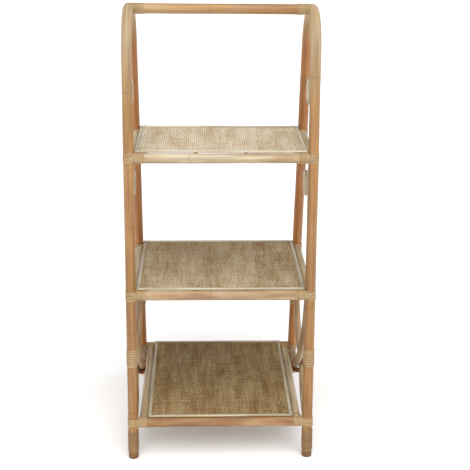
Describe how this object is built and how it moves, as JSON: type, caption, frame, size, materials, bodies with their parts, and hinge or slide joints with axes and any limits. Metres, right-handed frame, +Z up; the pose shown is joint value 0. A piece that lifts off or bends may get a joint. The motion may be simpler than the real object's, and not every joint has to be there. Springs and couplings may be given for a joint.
{
  "type": "ladder shelf",
  "caption": "Free-standing rattan ladder shelf: side frames bent over at the top, spreading legs, woven shelves that deepen towards the floor.",
  "frame": {"origin": "on the floor under the middle of the shelf", "axes": "+Z up, front faces -Y, +X to the right seen from the front"},
  "size_m": [0.4808, 0.4862, 1.1277],
  "materials": {
    "rattan_pole": "satin",
    "rattan_peel": "satin",
    "woven_rattan": "matte",
    "beading_cane": "matte",
    "ring_cane": "matte",
    "screw_steel": "satin",
    "pin_brass": "satin"
  },
  "bodies": {
    "root": {"beading_pins": "pin_brass", "bottom_shelf_front_beading": "beading_cane", "bottom_shelf_front_rail": "rattan_pole", "bottom_shelf_left_beading": "beading_cane", "bottom_shelf_left_rail": "rattan_pole", "bottom_shelf_leg_bindings": "rattan_peel", "bottom_shelf_rail_bindings": "rattan_peel", "bottom_shelf_rear_beading": "beading_cane", "bottom_shelf_rear_rail": "rattan_pole", "bottom_shelf_right_beading": "beading_cane", "bottom_shelf_right_rail": "rattan_pole", "bottom_shelf_side_bindings": "rattan_peel", "bottom_shelf_support_canes": "rattan_pole", "bottom_shelf_woven_mat": "woven_rattan", "brace_lashings": "rattan_peel", "foot_bindings": "rattan_peel", "joint_screws": "screw_steel", "left_brace_from_front": "rattan_pole", "left_brace_from_rear": "rattan_pole", "left_lower_ring": "ring_cane", "left_side_frame": "rattan_pole", "left_upper_ring": "ring_cane", "leg_bindings": "rattan_peel", "lower_ring_pins": "ring_cane", "middle_shelf_front_beading": "beading_cane", "middle_shelf_front_rail": "rattan_pole", "middle_shelf_left_beading": "beading_cane", "middle_shelf_left_rail": "rattan_pole", "middle_shelf_leg_bindings": "rattan_peel", "middle_shelf_rail_bindings": "rattan_peel", "middle_shelf_rear_beading": "beading_cane", "middle_shelf_rear_rail": "rattan_pole", "middle_shelf_right_beading": "beading_cane", "middle_shelf_right_rail": "rattan_pole", "middle_shelf_side_bindings": "rattan_peel", "middle_shelf_support_canes": "rattan_pole", "middle_shelf_woven_mat": "woven_rattan", "right_brace_from_front": "rattan_pole", "right_brace_from_rear": "rattan_pole", "right_lower_ring": "ring_cane", "right_side_frame": "rattan_pole", "right_upper_ring": "ring_cane", "top_rail": "rattan_pole", "top_rail_bindings": "rattan_peel", "top_shelf_front_beading": "beading_cane", "top_shelf_front_rail": "rattan_pole", "top_shelf_left_beading": "beading_cane", "top_shelf_left_rail": "rattan_pole", "top_shelf_leg_bindings": "rattan_peel", "top_shelf_rail_bindings": "rattan_peel", "top_shelf_rear_beading": "beading_cane", "top_shelf_rear_rail": "rattan_pole", "top_shelf_right_beading": "beading_cane", "top_shelf_right_rail": "rattan_pole", "top_shelf_side_bindings": "rattan_peel", "top_shelf_support_canes": "rattan_pole", "top_shelf_woven_mat": "woven_rattan", "upper_ring_pins": "ring_cane"}
  },
  "joints": []
}
